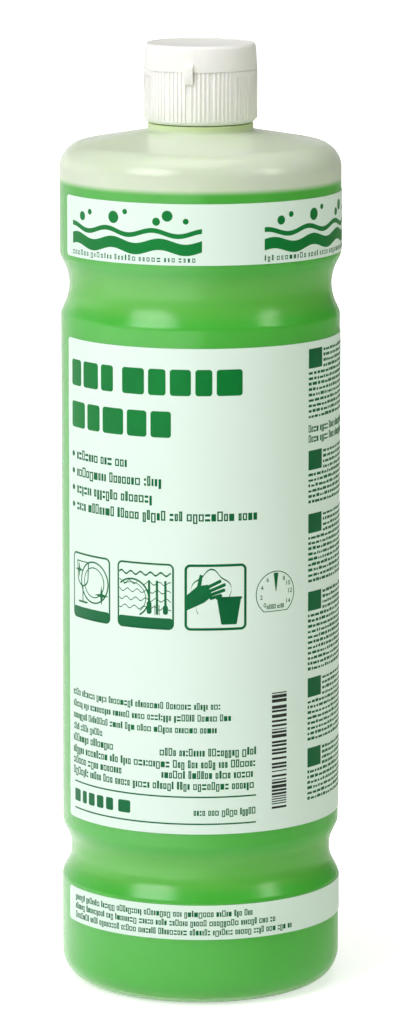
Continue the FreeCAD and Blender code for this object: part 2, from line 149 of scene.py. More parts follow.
def ramp(
    tree: bpy.types.NodeTree, value: bpy.types.NodeSocket, low: float, high: float,
    start: float = 0.0, end: float = 1.0, smooth: bool = True,
) -> bpy.types.NodeSocket:
    """Map a range to another, held at both ends.

    Args:
        tree: The node tree.
        value: What is mapped.
        low: Value at the range's start.
        high: Value at the range's end.
        start: Result up to the low value.
        end: Result from the high value.
        smooth: Whether both ends are eased.

    Returns:
        The result's socket.
    """
    sockets = {"Value": value, "From Min": low, "From Max": high, "To Min": start, "To Max": end}
    kind = "SMOOTHSTEP" if smooth else "LINEAR"
    return add_node(tree, "ShaderNodeMapRange", sockets, interpolation_type=kind).outputs["Result"]


@dataclass(frozen=True)
class Grain:
    """Numbers for the shared surface grain.

    Attributes:
        fine: Scale of the fine noise, per metre.
        broad: Scale of the broad noise, per metre.
        stretch: Factor on the height before the noise; under one draws it out upwards.
        gloss: Middle roughness.
        spread: How far the roughness swings either way.
    """

    fine: float
    broad: float
    stretch: float
    gloss: float
    spread: float


class SurfaceGrain:
    """Node group for moulded and printed surfaces: drifting tone, gloss and fine relief."""

    NAME = "surface_grain"
    BROAD_DETAIL = 3.0
    FINE_DETAIL = 2.0
    TONE_RANGE = (0.35, 0.68)

    @classmethod
    def group(cls) -> bpy.types.ShaderNodeTree:
        """Return the group, made on first use."""
        found = bpy.data.node_groups.get(cls.NAME)
        return found or cls.build()

    @classmethod
    def build(cls) -> bpy.types.ShaderNodeTree:
        """Make the group's sockets and nodes.

        Returns:
            The new node group.
        """
        tree = bpy.data.node_groups.new(cls.NAME, "ShaderNodeTree")
        sockets = tree.interface
        sockets.new_socket("Vector", in_out="INPUT", socket_type="NodeSocketVector")
        for name in ("Base", "Tint"):
            sockets.new_socket(name, in_out="INPUT", socket_type="NodeSocketColor")
        for name in ("Fine", "Broad", "Stretch", "Gloss", "Spread"):
            sockets.new_socket(name, in_out="INPUT", socket_type="NodeSocketFloat")
        sockets.new_socket("Color", in_out="OUTPUT", socket_type="NodeSocketColor")
        for name in ("Roughness", "Height"):
            sockets.new_socket(name, in_out="OUTPUT", socket_type="NodeSocketFloat")
        given = add_node(tree, "NodeGroupInput").outputs
        pull = add_node(tree, "ShaderNodeCombineXYZ", {"X": 1.0, "Y": 1.0, "Z": given["Stretch"]})
        drawn = add_node(
            tree, "ShaderNodeVectorMath", {0: given["Vector"], 1: pull.outputs["Vector"]},
            operation="MULTIPLY",
        )
        broad = add_node(
            tree, "ShaderNodeTexNoise",
            {"Vector": drawn.outputs["Vector"], "Scale": given["Broad"], "Detail": cls.BROAD_DETAIL},
        )
        fine = add_node(
            tree, "ShaderNodeTexNoise",
            {"Vector": given["Vector"], "Scale": given["Fine"], "Detail": cls.FINE_DETAIL},
        )
        tone = ramp(tree, broad.outputs["Fac"], *cls.TONE_RANGE, smooth=False)
        swing = maths(tree, "SUBTRACT", fine.outputs["Fac"], 0.5)
        results = {
            "Color": mixed(tree, tone, given["Base"], given["Tint"]),
            "Roughness": maths(tree, "MULTIPLY_ADD", swing, given["Spread"], given["Gloss"]),
            "Height": fine.outputs["Fac"],
        }
        add_node(tree, "NodeGroupOutput", results)
        return tree


@dataclass(frozen=True)
class Finish:
    """A plastic or print finish: grained colour, gloss and relief on one shader.

    Attributes:
        name: Material name.
        base: Main colour.
        tint: Colour it drifts to.
        grain: Numbers of the grain.
        relief: Height of the grain's bumps, metres.
        glow: Weight of the light that wanders under the surface.
        reach: How far that light wanders, metres, by channel.
        specular: Specular level.
    """

    name: str
    base: tuple[float, float, float, float]
    tint: tuple[float, float, float, float]
    grain: Grain
    relief: float = 0.00001
    glow: float = 0.0
    reach: tuple[float, float, float] = (0.001, 0.001, 0.001)
    specular: float = 0.5

    def make(self) -> bpy.types.Material:
        """Build the material, or return it if it exists.

        Returns:
            The finished material.
        """
        found = bpy.data.materials.get(self.name)
        if found:
            return found
        material = bpy.data.materials.new(self.name)
        material.use_nodes = True
        tree = material.node_tree
        place = add_node(tree, "ShaderNodeTexCoord")
        grain = add_node(
            tree, "ShaderNodeGroup",
            {
                "Vector": place.outputs["Object"], "Base": self.base, "Tint": self.tint,
                "Fine": self.grain.fine, "Broad": self.grain.broad, "Stretch": self.grain.stretch,
                "Gloss": self.grain.gloss, "Spread": self.grain.spread,
            },
            node_tree=SurfaceGrain.group(),
        )
        bump = add_node(tree, "ShaderNodeBump", {"Distance": self.relief, "Height": grain.outputs["Height"]})
        feed(
            tree, tree.nodes["Principled BSDF"],
            {
                "Normal": bump.outputs["Normal"], "Base Color": grain.outputs["Color"],
                "Roughness": grain.outputs["Roughness"], "Specular IOR Level": self.specular,
                "Subsurface Weight": self.glow, "Subsurface Radius": self.reach, "Subsurface Scale": 1.0,
            },
        )
        self.refine(tree, grain, place)
        return material

    def refine(self, tree: bpy.types.NodeTree, grain: bpy.types.Node, place: bpy.types.Node) -> None:
        """Hook for finishes that add to the plain one."""


@dataclass(frozen=True)
class WallFinish(Finish):
    """The blown wall: milky over the air, coloured by the soap where the soap wets it.

    Attributes:
        level: Height of the soap, metres.
        soft: Height over which the wall changes, metres.
        milky: Opacity of each face above the soap.
        wetted: Opacity of each face against the soap.
        thick_tone: Painted light: the lighter, yellower green that the soap gives the wall in the grooves and
            round the foot.
        thin_tone: Deeper green that the soap gives the wall on the panels, outside the painted light.
        thick_radius: Radius up to which the grooves' painted light is full, metres.
        thin_radius: Radius from which the wall takes the panels' deeper green, metres.
        neck_tone: Painted glow: pale yellow-green on the collar, standing in for light carried through the
            wall and lifting the shade under the closure.
        neck_height: Height where that painted glow begins, metres.
    """

    level: float = 0.2268
    soft: float = 0.001
    milky: float = 0.93
    wetted: float = 0.78
    thick_tone: tuple[float, float, float, float] = (0.16, 0.60, 0.09, 1.0)
    thin_tone: tuple[float, float, float, float] = (0.09, 0.56, 0.06, 1.0)
    thick_radius: float = 0.0366
    thin_radius: float = 0.0384
    neck_tone: tuple[float, float, float, float] = (0.66, 0.84, 0.43, 1.0)
    neck_height: float = 0.2408

    def refine(self, tree: bpy.types.NodeTree, grain: bpy.types.Node, place: bpy.types.Node) -> None:
        """Drive the wall's opacity and tone by height, and under the level by radius too, which paints light
        into the grooves.

        Args:
            tree: The material's node tree.
            grain: Its grain group.
            place: Its texture coordinates.
        """
        spot = place.outputs["Object"]
        height = add_node(tree, "ShaderNodeSeparateXYZ", {"Vector": spot}).outputs["Z"]
        edge = (self.level - self.soft, self.level + self.soft)
        flat = add_node(tree, "ShaderNodeVectorMath", {0: spot, 1: (1.0, 1.0, 0.0)}, operation="MULTIPLY")
        radius = add_node(tree, "ShaderNodeVectorMath", {0: flat.outputs["Vector"]}, operation="LENGTH")
        # Painted light under the soap level: at small radius, in the grooves and round the foot, the wall
        # takes a lighter, yellower green than on the panels.
        blown = ramp(tree, radius.outputs["Value"], self.thick_radius, self.thin_radius)
        wet = mixed(tree, blown, self.thick_tone, self.thin_tone)
        body = mixed(tree, ramp(tree, height, *edge), wet, grain.outputs["Color"])
        # Painted glow: above this height the collar takes a pale yellow-green in place of the wall's colour.
        collar = ramp(tree, height, self.neck_height - MM, self.neck_height + MM)
        opacity = ramp(tree, height, *edge, self.wetted, self.milky)
        colour = mixed(tree, collar, body, self.neck_tone)
        feed(tree, tree.nodes["Principled BSDF"], {"Alpha": opacity, "Base Color": colour})


BLOWN_WALL = WallFinish(
    name="blown_wall",
    base=(0.75, 0.90, 0.67, 1.0),
    tint=(0.71, 0.89, 0.56, 1.0),
    grain=Grain(fine=900, broad=28, stretch=0.25, gloss=0.24, spread=0.06),
    relief=0.000003,
    glow=0.5,
    reach=(0.003, 0.004, 0.002),
    specular=0.55,
)
WALL_INSIDE = replace(BLOWN_WALL, name="blown_wall_inside", wetted=0.1)
GREEN_SOAP = Finish(
    name="green_soap",
    base=(0.02, 0.80, 0.02, 1.0),
    tint=(0.03, 0.83, 0.022, 1.0),
    grain=Grain(fine=300, broad=20, stretch=1.0, gloss=0.22, spread=0.04),
    relief=0.0,
    glow=1.0,
    reach=(0.002, 0.06, 0.003),
    specular=0.5,
)
LABEL_FILM = Finish(
    name="mint_film",
    base=(0.81, 0.95, 0.87, 1.0),
    tint=(0.78, 0.94, 0.84, 1.0),
    grain=Grain(fine=1400, broad=24, stretch=0.6, gloss=0.36, spread=0.08),
    relief=0.000006,
    specular=0.25,
)
PRINT_GRAIN = Grain(fine=2400, broad=90, stretch=1.0, gloss=0.4, spread=0.1)
GREEN_INK = Finish(
    "green_ink", lin(0, 124, 50), lin(0, 114, 48), PRINT_GRAIN, relief=0.000004, specular=0.15
)
DEEP_GREEN_INK = replace(GREEN_INK, name="deep_green_ink", base=lin(0, 104, 56), tint=lin(0, 94, 52))
BLACK_INK = replace(
    GREEN_INK, name="black_ink", base=lin(28, 34, 32), tint=lin(22, 28, 26), specular=0.4
)
WHITE_CLOSURE = Finish(
    name="white_closure",
    base=(0.945, 0.92, 0.9, 1.0),
    tint=(0.925, 0.9, 0.875, 1.0),
    grain=Grain(fine=1600, broad=60, stretch=0.7, gloss=0.36, spread=0.12),
    relief=0.000008,
    glow=0.35,
    reach=(0.0016, 0.0014, 0.0011),
    specular=0.5,
)


# Mesh helpers.


def object_from(bm: bmesh.types.BMesh, name: str) -> bpy.types.Object:
    """Turn a bmesh into an object at the origin, shaded smooth up to sharp edges.

    Args:
        bm: The mesh, which is freed.
        name: Name of the new piece.

    Returns:
        The new object, linked to the scene.
    """
    for face in bm.faces:
        face.smooth = True
    for edge in bm.edges:
        edge.smooth = len(edge.link_faces) == 2 and edge.calc_face_angle(0.0) < SHARP_EDGE
    mesh = bpy.data.meshes.new(name)
    bm.to_mesh(mesh)
    bm.free()
    piece = bpy.data.objects.new(name, mesh)
    bpy.context.scene.collection.objects.link(piece)
    return piece


def finish_piece(
    piece: bpy.types.Object, finish: Finish | Sequence[Finish], body: Body, slot: Slot, *replaced: str
) -> bpy.types.Object:
    """Dress a piece, put it on its body and report it.

    Args:
        piece: The finished mesh object.
        finish: Its finish, or one for each of its material numbers.
        body: The body it rides on.
        slot: The record's slot it belongs to; not used.
        *replaced: CAD nodes that it stands for.

    Returns:
        The same object.
    """
    for layer in [finish] if isinstance(finish, Finish) else finish:
        piece.data.materials.append(layer.make())
    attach(piece, body.value)
    if replaced:
        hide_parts(*replaced)
    LOG.info("%s: %d faces on %s", piece.name, len(piece.data.polygons), body.value)
    return piece


@dataclass(frozen=True)
class Corner:
    """A corner of a turned outline, in millimetres.

    Attributes:
        across: Distance from the axis.
        up: Height.
        rounding: Radius of the rounding; none if zero.
        steps: Segments of the rounding.
    """

    across: float
    up: float
    rounding: float = 0.0
    steps: int = 8


def draw_outline(bm: bmesh.types.BMesh, corners: Sequence[Corner]) -> None:
    """Draw an open outline in the XZ plane and round its corners.

    Args:
        bm: The mesh to draw in.
        corners: The corners in order.
    """
    verts = [bm.verts.new((c.across * MM, 0.0, c.up * MM)) for c in corners]
    for pair in zip(verts, verts[1:]):
        bm.edges.new(pair)
    turns = []
    for i, corner in enumerate(corners):
        if corner.rounding > 0:
            before = verts[i - 1].co - verts[i].co
            after = verts[i + 1].co - verts[i].co
            turn = math.pi - before.angle(after)
            turns.append((verts[i], corner.rounding * MM * math.tan(turn / 2), corner.steps))
    for vert, offset, steps in turns:
        bmesh.ops.bevel(
            bm, geom=[vert], offset=offset, offset_type="OFFSET", segments=steps, profile=0.5,
            affect="VERTICES", material=-1,
        )


def turned(name: str, steps: int, *outlines: Sequence[Corner]) -> bpy.types.Object:
    """Turn outlines right round the bottle's axis and close them to one skin.

    Args:
        name: Name of the new piece.
        steps: Segments of the full turn.
        *outlines: Open outlines drawn at azimuth zero; each gives its faces the next material.

    Returns:
        The new object.
    """
    bm = bmesh.new()
    for number, corners in enumerate(outlines):
        older_verts, older_edges, older_faces = set(bm.verts), set(bm.edges), set(bm.faces)
        draw_outline(bm, corners)
        line = [v for v in bm.verts if v not in older_verts] + [e for e in bm.edges if e not in older_edges]
        bmesh.ops.spin(
            bm, geom=line, cent=(0, 0, 0), axis=(0, 0, 1), dvec=(0, 0, 0), angle=math.tau, steps=steps,
            use_merge=True, use_duplicate=False,
        )
        for face in bm.faces:
            if face not in older_faces:
                face.material_index = number
    bmesh.ops.remove_doubles(bm, verts=bm.verts[:], dist=0.001 * MM)
    bmesh.ops.recalc_face_normals(bm, faces=bm.faces[:])
    return object_from(bm, name)


# Bottle and soap.


@dataclass
class BlownBottle:
    """The blown bottle and the soap in it; all sizes in millimetres."""

    radius: float = 39.0
    wall: float = 0.9
    recess: float = 0.25
    pushup: float = 4.5
    pushup_flat: float = 12.0
    ring: float = 26.0
    foot_blend: float = 8.2
    waist: float = 2.6
    ramp: float = 5.0
    low_middle: float = 37.9
    low_floor: float = 5.3
    low_blend: float = 7.0
    high_middle: float = 197.9
    high_floor: float = 6.2
    high_blend: float = 12.0
    crest: float = 2.9
    shoulder: float = 235.9
    slope: float = math.tan(math.radians(10))
    shoulder_blend: float = 6.9
    collar_radius: float = 14.6
    collar_top: float = 242.3
    neck_radius: float = 12.55
    neck_bore: float = 10.8
    lip: float = 255.6
    fill: float = 226.8
    film: float = 0.05
    steps: int = 256

    def side(self, inset: float) -> list[Corner]:
        """The side from the base's centre to the upper groove.

        Args:
            inset: How far inside the outer face it is drawn.

        Returns:
            The corners in order.
        """
        outer, panel = self.radius - inset, self.radius - self.recess - inset
        waist = self.radius - self.waist - inset
        low_in = self.low_middle - self.low_floor / 2
        low_out = self.low_middle + self.low_floor / 2
        high_in = self.high_middle - self.high_floor / 2
        high_out = self.high_middle + self.high_floor / 2
        crest = self.crest - inset
        return [
            Corner(0.0, self.pushup + inset),
            Corner(self.pushup_flat, self.pushup + inset, 6.0),
            Corner(self.ring, inset, 2.0),
            Corner(outer, inset, self.foot_blend - inset, 12),
            Corner(outer, low_in - self.ramp, crest),
            Corner(waist, low_in, self.low_blend + inset),
            Corner(waist, low_out, self.low_blend + inset),
            Corner(panel, low_out + self.ramp, crest),
            Corner(panel, high_in - self.ramp, crest),
            Corner(waist, high_in, self.high_blend + inset),
            Corner(waist, high_out, self.high_blend + inset),
            Corner(outer, high_out + self.ramp, crest),
        ]

    def build_wall(self) -> bpy.types.Object:
        """Turn the wall as one closed outline: outside up, inside down."""
        drop = self.wall * math.sqrt(1 + self.slope ** 2)
        outside = self.side(0.0) + [
            Corner(self.radius, self.shoulder, self.shoulder_blend, 12),
            Corner(self.collar_radius, self.shoulder + (self.radius - self.collar_radius) * self.slope, 0.8),
            Corner(self.collar_radius, self.collar_top, 0.35, 4),
            Corner(self.neck_radius, self.collar_top),
            Corner(self.neck_radius, self.lip, 0.5, 4),
            Corner(self.neck_bore, self.lip, 0.3, 4),
            Corner(self.neck_bore, self.lip - 1.0),
        ]
        inside = self.side(self.wall) + [
            Corner(
                self.radius - self.wall, self.shoulder - drop + self.wall * self.slope,
                self.shoulder_blend - self.wall, 12,
            ),
            Corner(
                self.neck_bore, self.shoulder - drop + (self.radius - self.neck_bore) * self.slope, 0.6, 4,
            ),
            Corner(self.neck_bore, self.lip - 1.0),
        ]
        return turned("blown_bottle", self.steps, outside, inside)

    def build_soap(self) -> bpy.types.Object:
        """Turn the soap up to its level, with the small climb that it makes at the wall."""
        inset = self.wall + self.film
        edge = self.radius - inset
        outline = self.side(inset) + [
            Corner(edge, self.fill + 0.5),
            Corner(edge - 0.35, self.fill + 0.35, 0.3, 3),
            Corner(edge - 1.6, self.fill, 1.2, 4),
            Corner(0.0, self.fill),
        ]
        return turned("soap_fill", 192, outline)

    def build(self) -> None:
        """Build and dress the wall and the soap."""
        finish_piece(self.build_soap(), GREEN_SOAP, Body.BOTTLE, Slot.SOAP, "dish_soap")
        wall = self.build_wall()
        finish_piece(wall, (BLOWN_WALL, WALL_INSIDE), Body.BOTTLE, Slot.WALL, "bottle")


# Labels and their print.


@dataclass
class Sheet:
    """A flat drawing that is wrapped round the bottle.

    The drawing lies in the XZ plane: x runs along the label from its left edge, z is the height, both in
    metres. Its thickness runs along y.

    Attributes:
        radius: Radius of the surface that it lies on, millimetres.
        start: Azimuth of the label's left edge, degrees.
        pitch: Width of the flat strips that follow the curve, millimetres.
    """

    radius: float
    start: float = -159.0
    pitch: float = 1.5
    bm: bmesh.types.BMesh = field(default_factory=bmesh.new)

    def polygon(self, points: Iterable[tuple[float, float]], rounding: float = 0.0) -> None:
        """Add one flat shape.

        Args:
            points: Its corners, millimetres.
            rounding: Rounding of its corners, millimetres.
        """
        face = self.bm.faces.new([self.bm.verts.new((u * MM, 0.0, z * MM)) for u, z in points])
        if rounding > 0:
            bmesh.ops.bevel(
                self.bm, geom=face.verts[:], offset=rounding * MM, offset_type="OFFSET", segments=4,
                profile=0.5, affect="VERTICES", material=-1,
            )

    def bar(self, left: float, bottom: float, right: float, top: float, rounding: float = 0.0) -> None:
        """Add an upright rectangle."""
        self.polygon([(left, bottom), (right, bottom), (right, top), (left, top)], rounding)

    def stroke(self, points: Sequence[tuple[float, float]], width: float, upright: bool = False) -> None:
        """Add a line of even height or breadth through some points.

        Args:
            points: The line's points, millimetres.
            width: Its width, millimetres.
            upright: Whether it runs up rather than along.
        """
        verts = [self.bm.verts.new((u * MM, 0.0, z * MM)) for u, z in points]
        edges = [self.bm.edges.new(pair) for pair in zip(verts, verts[1:])]
        made = bmesh.ops.extrude_edge_only(self.bm, edges=edges)["geom"]
        shift = (width * MM, 0, 0) if upright else (0, 0, width * MM)
        bmesh.ops.translate(self.bm, verts=[g for g in made if isinstance(g, bmesh.types.BMVert)], vec=shift)

    def arc(
        self, u: float, z: float, radius: float, width: float, start: float = 0.0, sweep: float = 360.0
    ) -> None:
        """Add a curved line round a centre.

        Args:
            u: Centre along the label, millimetres.
            z: Centre's height, millimetres.
            radius: Inner radius, millimetres.
            width: Line width, millimetres.
            start: First angle, degrees from the label's direction.
            sweep: Degrees that it covers.
        """
        centre = Vector((u * MM, 0.0, z * MM))
        first = self.bm.verts.new(centre + Vector((radius * MM, 0, 0)))
        second = self.bm.verts.new(centre + Vector(((radius + width) * MM, 0, 0)))
        edge = self.bm.edges.new((first, second))
        bmesh.ops.rotate(
            self.bm, verts=[first, second], cent=centre, matrix=Matrix.Rotation(math.radians(-start), 3, "Y")
        )
        bmesh.ops.spin(
            self.bm, geom=[first, second, edge], cent=centre, axis=(0, -1, 0), dvec=(0, 0, 0),
            angle=math.radians(sweep), steps=max(6, int(sweep / 10)), use_merge=sweep >= 360,
            use_duplicate=False,
        )

    def disc(self, u: float, z: float, radius: float) -> None:
        """Add a filled circle."""
        place = Matrix.Translation((u * MM, 0.0, z * MM)) @ Matrix.Rotation(math.pi / 2, 4, "X")
        bmesh.ops.create_circle(self.bm, cap_ends=True, segments=20, radius=radius * MM, matrix=place)

    def frame(
        self, left: float, bottom: float, right: float, top: float, rounding: float, width: float
    ) -> None:
        """Add an open rectangle with rounded corners."""
        half = width / 2
        for a, b in ((bottom, bottom + width), (top - width, top)):
            self.bar(left + rounding, a, right - rounding, b)
        for a, b in ((left, left + width), (right - width, right)):
            self.bar(a, bottom + rounding, b, top - rounding)
        inner = rounding - width
        for u, z, start in (
            (right - rounding, top - rounding, 0), (left + rounding, top - rounding, 90),
            (left + rounding, bottom + rounding, 180), (right - rounding, bottom + rounding, 270),
        ):
            self.arc(u, z, max(inner, half / 4), width, start, 90)

    def figures(self, words: str, u: float, z: float, height: float) -> None:
        """Add plain figures, centred on a point.

        Args:
            words: The figures.
            u: Centre along the label, millimetres.
            z: Centre's height, millimetres.
            height: Their height, millimetres.
        """
        curve = bpy.data.curves.new("figures", "FONT")
        curve.body = words
        curve.align_x = "CENTER"
        curve.align_y = "CENTER"
        curve.size = height * MM / 0.7
        curve.resolution_u = 3
        holder = bpy.data.objects.new("figures", curve)
        mesh = bpy.data.meshes.new_from_object(holder)
        mesh.transform(Matrix.Translation((u * MM, 0.0, z * MM)) @ Matrix.Rotation(math.pi / 2, 4, "X"))
        self.bm.from_mesh(mesh)
        bpy.data.objects.remove(holder)
        bpy.data.curves.remove(curve)
        bpy.data.meshes.remove(mesh)

    def wrap(self, name: str, low: float, high: float) -> bpy.types.Object:
        """Give the drawing its thickness and wrap it round the bottle.

        Args:
            name: Name of the new piece.
            low: Height of its underside above the surface, millimetres.
            high: Height of its face above the surface, millimetres.

        Returns:
            The new object.
        """
        bm = self.bm
        bmesh.ops.remove_doubles(bm, verts=bm.verts[:], dist=0.0005 * MM)
        across = [v.co.x for v in bm.verts]
        pitch = self.pitch * MM
        for line in range(math.floor(min(across) / pitch) + 1, math.ceil(max(across) / pitch)):
            bmesh.ops.bisect_plane(
                bm, geom=bm.verts[:] + bm.edges[:] + bm.faces[:], dist=0.0001 * MM,
                plane_co=(line * self.pitch * MM, 0, 0), plane_no=(1, 0, 0),
            )
        made = bmesh.ops.extrude_face_region(bm, geom=bm.faces[:])["geom"]
        raised = [g for g in made if isinstance(g, bmesh.types.BMVert)]
        bmesh.ops.translate(bm, verts=raised, vec=(0, -(high - low) * MM, 0))
        for vert in bm.verts:
            angle = math.radians(self.start) + vert.co.x / (self.radius * MM)
            reach = (self.radius + low) * MM - vert.co.y
            vert.co = Vector((reach * math.cos(angle), reach * math.sin(angle), vert.co.z))
        bmesh.ops.recalc_face_normals(bm, faces=bm.faces[:])
        return object_from(bm, name)


@dataclass
class TextRows:
    """Stand-ins for small print: rows of blank boxes in word groups, with no letters.

    Attributes:
        height: Height of a low box, millimetres.
        seed: Seed of the row's rhythm.
        block: Mean width of a box as a share of the height.
        gap: Gap between boxes as a share of the height.
        stem: Thickness of a box's sides as a share of the height.
        tall: Height of a tall box as a share of the height.
        hang: How far a hanging box reaches down as a share of the height.
        dash: Height of a dash as a share of the height.
        kinds: Where the draw passes from low to tall to hanging boxes, to dashes and to blocks.
    """

    height: float
    seed: int
    block: float = 0.52
    gap: float = 0.17
    stem: float = 0.19
    tall: float = 1.36
    hang: float = 0.34
    dash: float = 0.32
    kinds: tuple[float, float, float, float] = (0.46, 0.66, 0.76, 0.88)

    def __post_init__(self) -> None:
        """Start the row's own random rhythm."""
        self.rhythm = random.Random(self.seed)

    def blank(self, sheet: Sheet, left: float, base: float, width: float) -> None:
        """Add one blank of a word: a low, tall or hanging hollow box, a pair of dashes or a block.

        Args:
            sheet: The drawing.
            left: Its left edge, millimetres.
            base: Height of the row's foot, millimetres.
            width: Its width, millimetres.
        """
        high, draw = self.height, self.rhythm.random()
        low, tall, hanging, dashes = self.kinds
        if draw < low:
            self.box(sheet, left, base, width, high)
        elif draw < tall:
            self.box(sheet, left, base, width, high * self.tall)
        elif draw < hanging:
            self.box(sheet, left, base - high * self.hang, width, high * (1 + self.hang))
        elif draw < dashes:
            sheet.bar(left, base, left + width, base + high * self.dash)
            sheet.bar(left, base + high * (1 - self.dash), left + width, base + high)
        else:
            sheet.bar(left, base, left + width, base + high)

    def box(self, sheet: Sheet, left: float, foot: float, width: float, high: float) -> None:
        """Add a hollow box."""
        right, head, stem = left + width, foot + high, self.stem * self.height
        sheet.bar(left, foot, left + stem, head)
        sheet.bar(right - stem, foot, right, head)
        sheet.bar(left + stem, foot, right - stem, foot + stem)
        sheet.bar(left + stem, head - stem, right - stem, head)

    def row(self, sheet: Sheet, left: float, right: float, base: float) -> None:
        """Fill one row with word groups of blanks.

        Args:
            sheet: The drawing.
            left: Left end, millimetres.
            right: Right end, millimetres.
            base: Height of the row's foot, millimetres.
        """
        u = left
        while u < right - self.height * 0.4:
            for _ in range(self.rhythm.randint(3, 9)):
                width = self.height * self.block * self.rhythm.uniform(0.55, 1.5)
                if u + width > right:
                    u = right
                    break
                self.blank(sheet, u, base, width)
                u += width + self.height * self.gap
            u += self.height * 0.45

    def words(self, sheet: Sheet, left: float, right: float, base: float) -> None:
        """Fill one row with plain bars, one for each word.

        Args:
            sheet: The drawing.
            left: Left end, millimetres.
            right: Right end, millimetres.
            base: Height of the row's foot, millimetres.
        """
        u = left
        while u < right - self.height:
            width = min(self.height * self.rhythm.uniform(0.8, 3.4), right - u)
            sheet.bar(u, base, u + width, base + self.height * self.rhythm.uniform(0.8, 1.3))
            u += width + self.height * self.rhythm.uniform(0.45, 0.9)


@dataclass
class FilmLabel:
    """One film label with rounded corners; sizes in millimetres."""

    node: str
    surface: float
    bottom: float
    top: float
    wrap_degrees: float = 330.0
    gap: float = 0.03
    film: float = 0.15
    rounding: float = 1.2

    @property
    def face(self) -> float:
        """Radius of the printed face."""
        return self.surface + self.gap + self.film

    @property
    def length(self) -> float:
        """Length along the printed face."""
        return math.radians(self.wrap_degrees) * self.face

    def sheet(self) -> Sheet:
        """A blank drawing on this label's face."""
        return Sheet(radius=self.face)

    def build(self) -> None:
        """Build and dress the film."""
        sheet = self.sheet()
        sheet.pitch = 1.0
        sheet.bar(0.0, self.bottom, self.length, self.top, self.rounding)
        film = sheet.wrap(f"{self.node}_film", -self.film, 0.0)
        finish_piece(film, LABEL_FILM, Body.BOTTLE, Slot.FILM, self.node)

    def ink(self, sheet: Sheet, name: str, finish: Finish, step: float = 0.0) -> None:
        """Wrap a drawing on this label as a skin of ink.

        Args:
            sheet: The drawing.
            name: Name of the new piece.
            finish: The ink.
            step: Extra height, millimetres.
        """
        finish_piece(sheet.wrap(name, -0.03, 0.03 + step), finish, Body.BOTTLE, Slot.FILM)


@dataclass
class TopBand(FilmLabel):
    """The band under the shoulder: a plain water and bubble motif over a row of small print."""

    repeat: float = 61.0
    first: float = 4.2
    motif: float = 43.4

    def wave(self, sheet: Sheet, left: float, base: float, swing: float, width: float, phase: float) -> None:
        """Add one wave across the motif.

        Args:
            sheet: The drawing.
            left: Left end, millimetres.
            base: Mean height of its underside, millimetres.
            swing: Half its rise and fall, millimetres.
            width: Its breadth, millimetres.
            phase: Where in the swing it starts, radians.
        """
        steps = 60
        points = []
        for i in range(steps + 1):
            across = self.motif * i / steps
            points.append((left + across, base + swing * math.sin(math.tau * across / 14.5 + phase)))
        sheet.stroke(points, width)

    def print_ink(self) -> None:
        """Print the band."""
        bold = self.sheet()
        small = self.sheet()
        rows = TextRows(height=1.1, seed=11, block=0.6, gap=0.55)
        bubbles = (
            (5.2, 218.9, 1.25), (8.6, 220.3, 0.8), (17.6, 219.6, 1.7), (21.4, 221.3, 0.75),
            (30.8, 219.0, 1.1), (33.9, 220.6, 1.5), (39.0, 219.2, 0.8),
        )
        at = self.first
        while at + self.motif < self.length:
            self.wave(bold, at, 210.6, 0.75, 3.1, 0.4)
            self.wave(bold, at, 215.2, 0.75, 1.3, 1.3)
            for along, up, radius in bubbles:
                bold.disc(at + along, up, radius)
            rows.row(small, at, at + 42.0, 208.1)
            at += self.repeat
        self.ink(bold, "top_band_motif", GREEN_INK)
        self.ink(small, "top_band_rows", DEEP_GREEN_INK)


